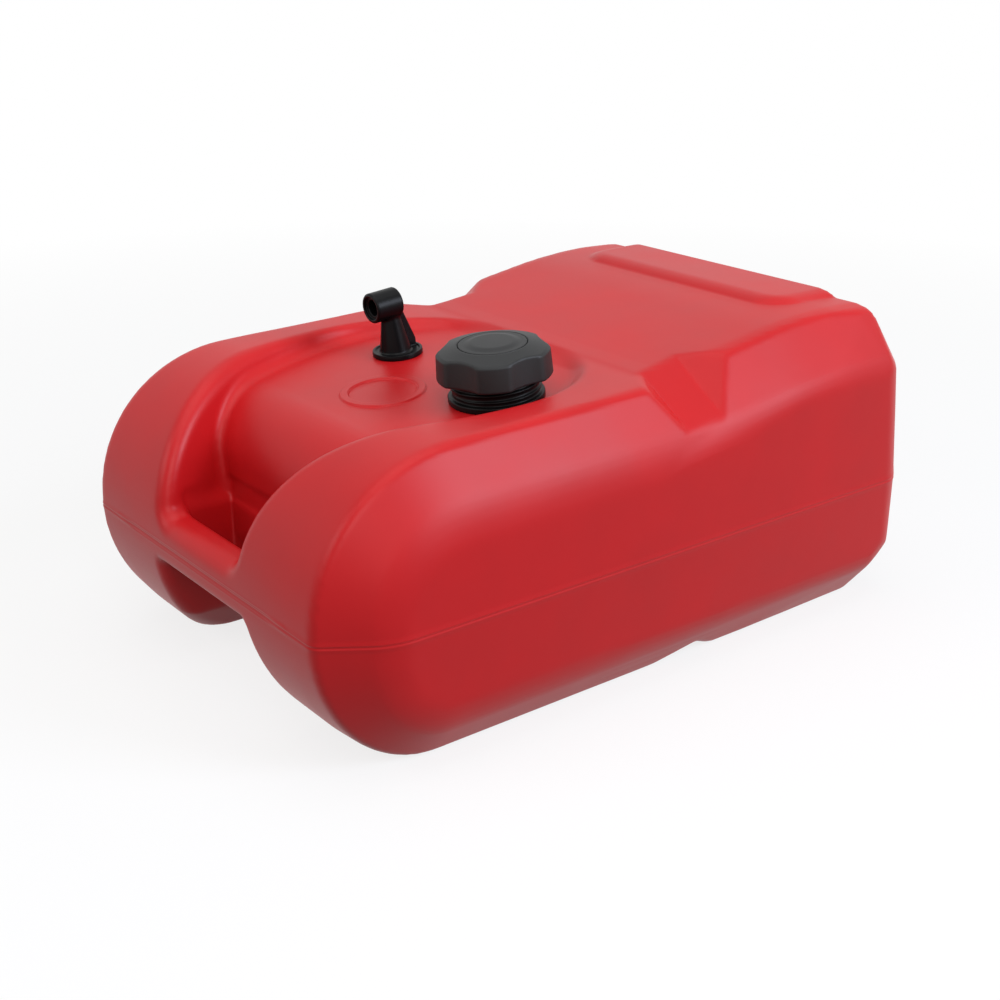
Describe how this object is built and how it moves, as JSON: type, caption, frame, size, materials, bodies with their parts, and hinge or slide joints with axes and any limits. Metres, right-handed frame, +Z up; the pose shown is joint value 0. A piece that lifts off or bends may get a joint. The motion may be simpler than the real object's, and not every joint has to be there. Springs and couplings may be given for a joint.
{
  "type": "outboard fuel tank",
  "caption": "Low portable boat fuel tank with a handle between two front lobes, a sunk filler with a vented screw cap, a pickup fitting and strap notches.",
  "frame": {"origin": "middle of the part's bounding box, at the plane of its base", "axes": "+Y runs from the handle end to the plateau end, +Z is up, +X is to the right seen from the handle end looking along +Y, on the filler cap's side"},
  "size_m": [0.356, 0.53, 0.2522],
  "materials": {
    "red_polyethylene": "satin, finely grained red polyethylene",
    "black_plastic": "satin black moulded plastic",
    "cap_plastic": "fine matte dark grey plastic",
    "fitting_plastic": "semi-gloss black nylon",
    "white_plastic": "natural acetal plastic",
    "black_rubber": "matte nitrile rubber",
    "spring_steel": "drawn steel wire",
    "screen_mesh": "fine woven plastic mesh"
  },
  "bodies": {
    "tank": {"tank_shell": "red_polyethylene", "filler_neck": "black_plastic", "pickup_bushing": "black_plastic", "pickup_elbow": "fitting_plastic", "pickup_oring": "black_rubber", "dip_tube": "white_plastic", "strainer_cage": "white_plastic", "strainer_screen": "screen_mesh"},
    "cap_lift": {"cap_gasket": "black_rubber"},
    "cap": {"cap_closure": "black_plastic", "ratchet_ring": "white_plastic", "valve_retainer": "white_plastic", "relief_spring": "spring_steel"},
    "knob": {"cap_knob": "cap_plastic", "dome_cover": "cap_plastic"},
    "relief": {"relief_poppet": "white_plastic", "relief_seal": "black_rubber", "vacuum_spring": "spring_steel"},
    "vacuum": {"vacuum_valve": "white_plastic", "vacuum_seal": "black_rubber"}
  },
  "joints": [
    {"name": "cap_rise", "type": "slide", "parent": "tank", "child": "cap_lift", "axis": [0, -0.0958, 0.9954], "range_m": [0, 0.0125]},
    {"name": "cap_turn", "type": "hinge", "parent": "cap_lift", "child": "cap", "pos_m": [0.0715, -0.065, 0.20043], "axis": [0, -0.0958, 0.9954], "range_deg": [0, 901]},
    {"name": "knob_play", "type": "hinge", "parent": "cap", "child": "knob", "pos_m": [0.0715, -0.065, 0.20043], "axis": [0, -0.0958, 0.9954], "range_deg": [0, 14]},
    {"name": "relief_lift", "type": "slide", "parent": "cap", "child": "relief", "axis": [0, -0.0958, 0.9954], "range_m": [0, 0.0025], "stiffness_N_per_m": 400, "springref_m": -0.004, "deforming": ["relief_spring"]},
    {"name": "vacuum_drop", "type": "slide", "parent": "relief", "child": "vacuum", "axis": [0, 0.0958, -0.9954], "range_m": [0, 0.0012], "stiffness_N_per_m": 120, "springref_m": -0.002, "deforming": ["vacuum_spring"]}
  ],
  "couplings": [
    {"joint": "cap_turn", "follows": "cap_rise", "rad_per_m": 1256.6}
  ]
}
